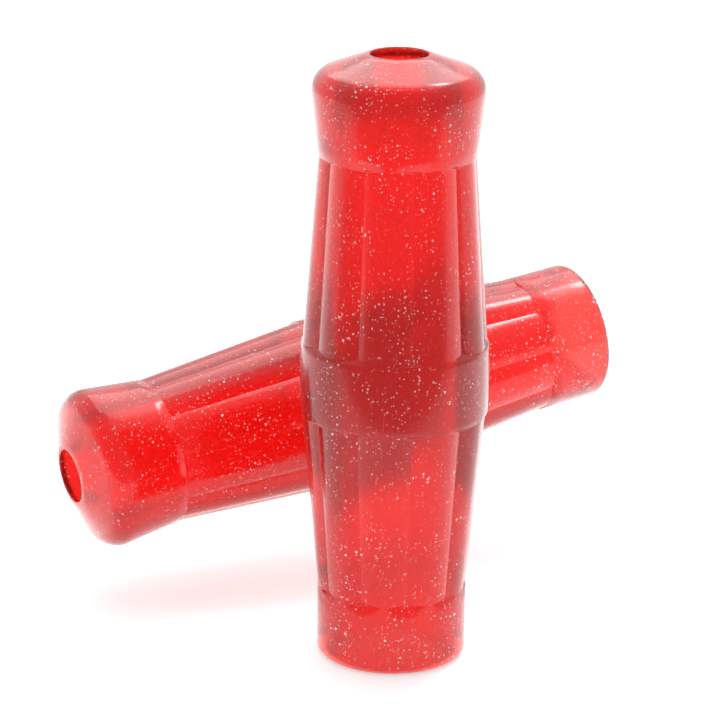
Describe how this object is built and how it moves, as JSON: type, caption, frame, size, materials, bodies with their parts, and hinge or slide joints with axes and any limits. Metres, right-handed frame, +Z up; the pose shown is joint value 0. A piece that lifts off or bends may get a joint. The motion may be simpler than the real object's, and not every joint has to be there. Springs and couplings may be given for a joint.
{
  "type": "handlebar grip pair",
  "caption": "Translucent red glitter handlebar grips: ribbed barrel-shaped bodies with a plain collar at the open end, a swell band, and a domed end with a hole.",
  "frame": {"origin": "middle of the standing grip's open end, on the surface that it stands on", "axes": "+Z up along the standing grip towards its domed end; +X to the right and +Y away from the viewer, with the second grip behind"},
  "size_m": [0.1225, 0.1194, 0.127],
  "materials": {
    "glitter_pvc": "translucent red soft PVC with silver flakes, moulded glossy"
  },
  "bodies": {
    "left_grip": {"left_grip": "glitter_pvc"},
    "right_grip": {"right_grip": "glitter_pvc"}
  },
  "joints": [
    {"name": "right_grip_lift", "type": "slide", "parent": "left_grip", "child": "right_grip", "axis": [0, 0, 1], "range_m": [0, 0.13]}
  ]
}
